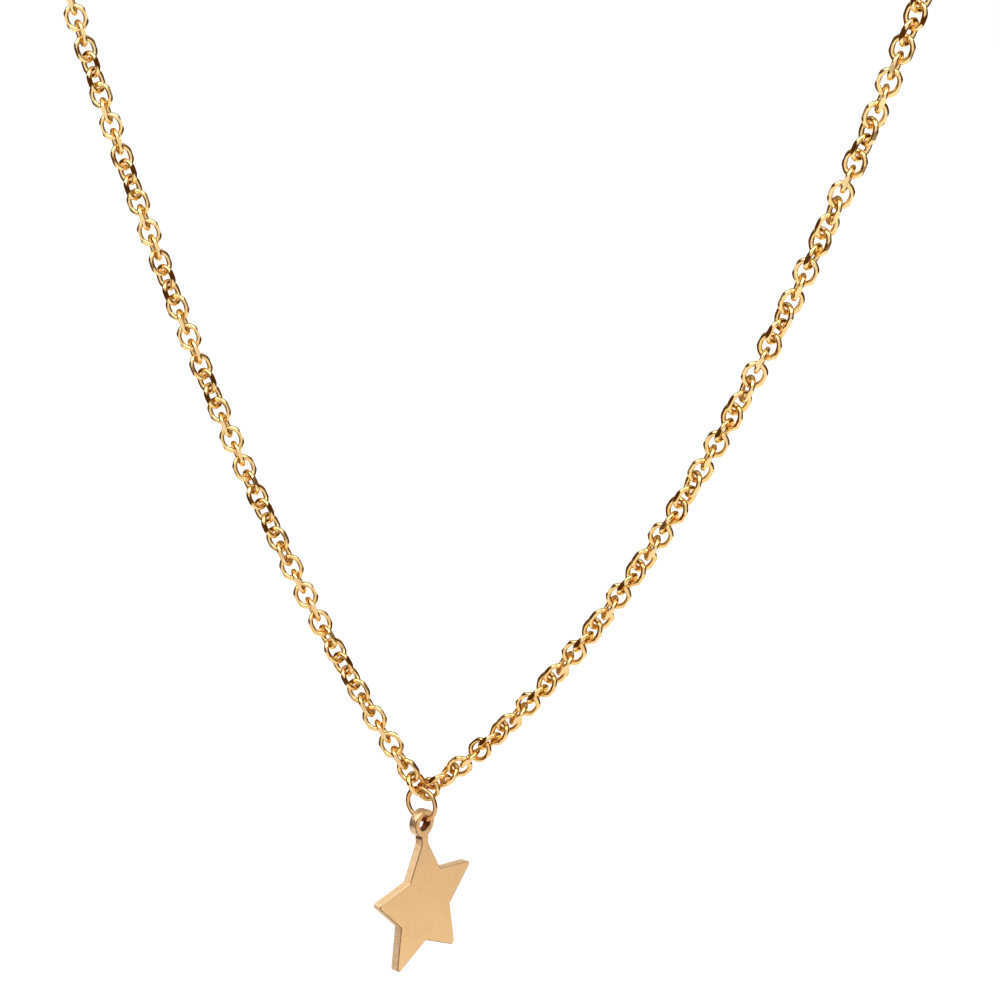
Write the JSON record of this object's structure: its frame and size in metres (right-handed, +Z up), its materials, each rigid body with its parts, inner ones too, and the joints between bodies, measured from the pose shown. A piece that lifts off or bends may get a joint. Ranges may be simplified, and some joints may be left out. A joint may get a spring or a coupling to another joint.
{
  "type": "star pendant necklace",
  "caption": "Flat star pendant with a round eyelet, hung by a jump ring from an oval cable chain that goes once round the neck.",
  "frame": {"origin": "middle of the clasp, where the chain rests on the nape", "axes": "+Z up, -Y to the front where the pendant hangs, +X to the right seen from the front"},
  "size_m": [0.1055, 0.0646, 0.1459],
  "materials": {
    "star_gold": "satin yellow gold",
    "ring_gold": "polished warm gold",
    "chain_gold": "polished yellow gold with cut flats",
    "clasp_gold": "polished yellow gold"
  },
  "bodies": {
    "necklace": {"chain_left": "chain_gold", "chain_right": "chain_gold", "clasp": "clasp_gold"},
    "ring": {"jump_ring": "ring_gold"},
    "pendant": {"star_pendant": "star_gold"}
  },
  "joints": [
    {"name": "ring_swing", "type": "hinge", "parent": "necklace", "child": "ring", "pos_m": [-0.007, -0.056, -0.124], "axis": [-0.1564, -0.9877, 0], "range_deg": [-25, 10]},
    {"name": "star_swing", "type": "hinge", "parent": "ring", "child": "pendant", "pos_m": [-0.00705, -0.05632, -0.12687], "axis": [0.9694, -0.2453, 0], "range_deg": [-90, 90]}
  ]
}
